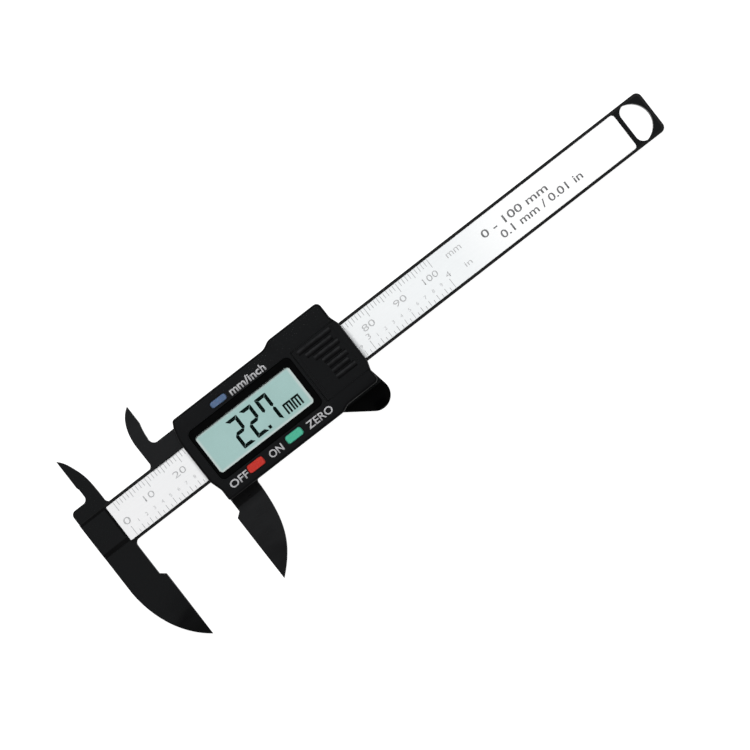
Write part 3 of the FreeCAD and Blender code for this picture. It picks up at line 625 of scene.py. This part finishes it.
SCALE_INK = printed_ink("scale_ink", (0.40, 0.405, 0.41))
TEXT_INK = printed_ink("text_ink", (0.15, 0.15, 0.155))
LEGEND_INK = printed_ink("legend_ink", (0.37, 0.37, 0.38))
SEGMENT_INK = printed_ink("segment_ink", (0.0005, 0.003, 0.0025), 1.0)

# How many divisions apart each length of tick stands, and that length
METRIC_TICKS = ((10, 2.6), (5, 2.0), (1, 1.5))
INCH_TICKS = ((20, 2.7), (10, 1.9), (2, 1.5), (1, 0.9))
TICK_WIDTH = 0.2
TICK_MARGIN = 0.15
INCH = 25.4
# The numbers end just before their ticks, and stand slightly further apart than they count
NUMBER_SPREAD = 1.005
NUMBER_SHIFT = -0.25
NUMBER_WEIGHT = -0.01


def metric_scale():
    ink = Print("scale_print_mm", SCALE, SCALE.z, SCALE_INK, "beam", "scale_label")
    top = LABEL_EDGE - TICK_MARGIN
    for mark in range(101):
        length = next(size for every, size in METRIC_TICKS if mark % every == 0)
        ink.bar(mark - TICK_WIDTH / 2, mark + TICK_WIDTH / 2, top - length, top)
    for tens in range(10, 101, 10):
        x = tens * NUMBER_SPREAD + NUMBER_SHIFT
        stretch = 1.6 if tens < 100 else 1.4
        ink.text(str(tens), x, 0.97, 1.8, stretch=stretch, weight=NUMBER_WEIGHT, align="RIGHT")
    ink.text("0", 0.05, -0.6, 1.95, stretch=1.65, weight=NUMBER_WEIGHT)
    ink.text("mm", 106.7, 2.85, 1.9, width=4.4)
    return ink.finish()


def inch_scale():
    ink = Print("scale_print_inch", SCALE, SCALE.z, SCALE_INK, "beam", "scale_label")
    bottom = -LABEL_EDGE + TICK_MARGIN
    for twentieth in range(81):
        x = twentieth * INCH / 20
        length = next(size for every, size in INCH_TICKS if twentieth % every == 0)
        ink.bar(x - TICK_WIDTH / 2, x + TICK_WIDTH / 2, bottom, bottom + length)
        tenth = twentieth // 2
        if twentieth % 2 == 0 and tenth % 10:
            ink.text(str(tenth % 10), x, -2.3, 0.95, stretch=1.2, weight=NUMBER_WEIGHT)
    for inches in range(1, 5):
        ink.text(str(inches), inches * INCH + 0.4, -1.25, 1.5, stretch=1.4, weight=NUMBER_WEIGHT)
    ink.text("in", 107.9, -1.97, 1.5, width=2.0)
    return ink.finish()


def range_text():
    ink = Print("scale_print_range", SCALE, SCALE.z, TEXT_INK, "beam", "scale_label")
    for words, x, y, width in (
        ("0 - 100 mm", 114.7, 1.25, 20.4),
        ("0.1 mm / 0.01 in", 118.7, -1.75, 25.4),
    ):
        ink.text(words, x, y, 2.15, width=width, weight=0.03, align="LEFT")
    return ink.finish()


# The display's digits, with their left edges, and the segments that each one lights
DIGITS = (("2", -6.33), ("2", -1.97), ("7", 2.78))
SEGMENTS = {"2": "abged", "7": "fabc"}
DIGIT_WIDTH = 3.5
DIGIT_HEIGHT = 8.2
DIGIT_BASE = -4.45
STROKE = 0.92
CORNER_CUT = 0.12
SEGMENT_GAP = 0.03
FOOT_RISE = 0.05
POINT = (1.7, 2.53)
POINT_HEIGHT = 0.9
# The display's unit: two letters m, each of three uprights, half a stroke to either side
UNIT_LEFTS = (7.95, 10.55)
UNIT_PITCH = 0.93
UNIT_HEIGHT = 2.95
UNIT_STROKE = 0.255


def segment_outline(name):
    """A display segment's corners, from the digit's lower left corner: mitred at its ends."""
    w, h, t, c, g = DIGIT_WIDTH, DIGIT_HEIGHT, STROKE, CORNER_CUT, SEGMENT_GAP
    middle = h / 2
    if name == "g":
        return [
            (t / 2 + g, middle), (t + g, middle + t / 2), (w - t - g, middle + t / 2),
            (w - t / 2 - g, middle), (w - t - g, middle - t / 2), (t + g, middle - t / 2),
        ]
    if name in "ad":
        outline = [
            (c + g, h), (w - c - g, h), (w - c / 2 - g, h - c / 2),
            (w - t - g, h - t), (t + g, h - t), (c / 2 + g, h - c / 2),
        ]
    else:
        outline = [
            (w, h - c - g), (w, middle + t / 2 + g), (w - t / 2, middle + g),
            (w - t, middle + t / 2 + g), (w - t, h - t - g), (w - c / 2, h - c / 2 - g),
        ]
    if name in "cde":
        outline = [(x, h - y) for x, y in outline]
    if name in "ef":
        outline = [(w - x, y) for x, y in outline]
    return outline


def reading():
    """22.7 mm on the display."""
    origin = Vector((DISPLAY.x, DISPLAY.y, 0))
    ink = Print("display_reading", origin, PANEL_Z, SEGMENT_INK, "slider", "display_glass")
    for digit, left in DIGITS:
        for name in SEGMENTS[digit]:
            ink.polygon(*((left + x, DIGIT_BASE + y) for x, y in segment_outline(name)))
    foot = DIGIT_BASE + FOOT_RISE
    ink.bar(*POINT, foot, foot + POINT_HEIGHT)
    stroke, top = UNIT_STROKE, foot + UNIT_HEIGHT
    for left in UNIT_LEFTS:
        for x in (left, left + UNIT_PITCH, left + 2 * UNIT_PITCH):
            ink.bar(x - stroke, x + stroke, foot, top)
        for x in (left + stroke, left + UNIT_PITCH + stroke):
            ink.bar(x, x + UNIT_PITCH - 2 * stroke, top - 2 * stroke, top)
    return ink.finish()


LEGEND_ROW = -9.58
ROW_LEGENDS = (("OFF", -12.05, 5.6), ("ON", -0.38, 4.1), ("ZERO", 13.42, 7.8))


def legends():
    origin = Vector((DISPLAY.x, DISPLAY.y, 0))
    ink = Print("control_legends", origin, FACE_Z, LEGEND_INK, "slider", "black_plastic")
    for word, x, width in ROW_LEGENDS:
        ink.text(word, x, LEGEND_ROW, 2.05, width=width, weight=0.05)
    ink.text("mm/inch", 4.84, 9.17, 2.15, width=10.95, weight=0.08)
    return ink.finish()


metric_scale()
inch_scale()
range_text()
reading()
legends()


# ---------------------------------------------------------------- stage, light and camera

def floor():
    half = FLOOR_HALF_SIZE
    mesh = bpy.data.meshes.new("floor")
    corners = [(-half, -half, 0), (half, -half, 0), (half, half, 0), (-half, half, 0)]
    mesh.from_pydata(corners, [], [(0, 1, 2, 3)])
    mesh.materials.append(floor_paint())
    ground = bpy.data.objects.new("floor", mesh)
    ground.location.z = -FLOOR_DROP
    bpy.context.scene.collection.objects.link(ground)


def softbox(name, offset, size, watts, colour=(1, 1, 1), glossy=True, diffuse=True):
    """A soft panel aimed at the object. With glossy off it isn't seen in reflections, as when
    it is polarised across the camera, and with diffuse off it is seen only in them."""
    data = bpy.data.lights.new(name, "AREA")
    data.shape = "RECTANGLE"
    data.size, data.size_y = size
    data.energy = watts
    data.color = colour
    light = bpy.data.objects.new(name, data)
    light.location = VIEW_CENTRE + Vector(offset)
    light.rotation_euler = (-Vector(offset)).to_track_quat("-Z", "Y").to_euler()
    light.visible_glossy = glossy
    light.visible_diffuse = diffuse
    bpy.context.scene.collection.objects.link(light)


def studio():
    """A soft panel that lights print, label and buttons, and a broad dim one that flat plastic
    mirrors as a sheen, in surroundings that are darker overhead than at the horizon."""
    world = bpy.data.worlds.new("studio")
    bpy.context.scene.world = world
    world.use_nodes = True
    tree = world.node_tree
    where = tree.nodes.new("ShaderNodeTexCoord")
    parts = tree.nodes.new("ShaderNodeSeparateXYZ")
    made = tree.nodes.new("ShaderNodeValToRGB")
    tree.links.new(where.outputs["Generated"], parts.inputs[0])
    tree.links.new(parts.outputs["Z"], made.inputs[0])
    tree.links.new(made.outputs["Color"], tree.nodes["Background"].inputs["Color"])
    ramp = made.color_ramp
    ramp.elements.new(0.5)
    for element, (position, level) in zip(ramp.elements, SKY):
        element.position = position
        element.color = (level, level, level, 1)
    softbox("overhead", **OVERHEAD, glossy=False)
    softbox("sheen", **SHEEN, diffuse=False)


def camera():
    data = bpy.data.cameras.new("camera")
    data.sensor_width = SENSOR
    data.lens = SENSOR * CAMERA_HEIGHT / (VIEW_WIDTH * MM)
    data.clip_start, data.clip_end = CAMERA_RANGE
    eye = bpy.data.objects.new("camera", data)
    eye.location = VIEW_CENTRE + Vector((0, 0, CAMERA_HEIGHT))
    eye.rotation_euler = (0, 0, -BEAM_ANGLE)
    bpy.context.scene.collection.objects.link(eye)
    bpy.context.scene.camera = eye


floor()
studio()
camera()
bpy.context.scene.view_settings.view_transform = "Standard"
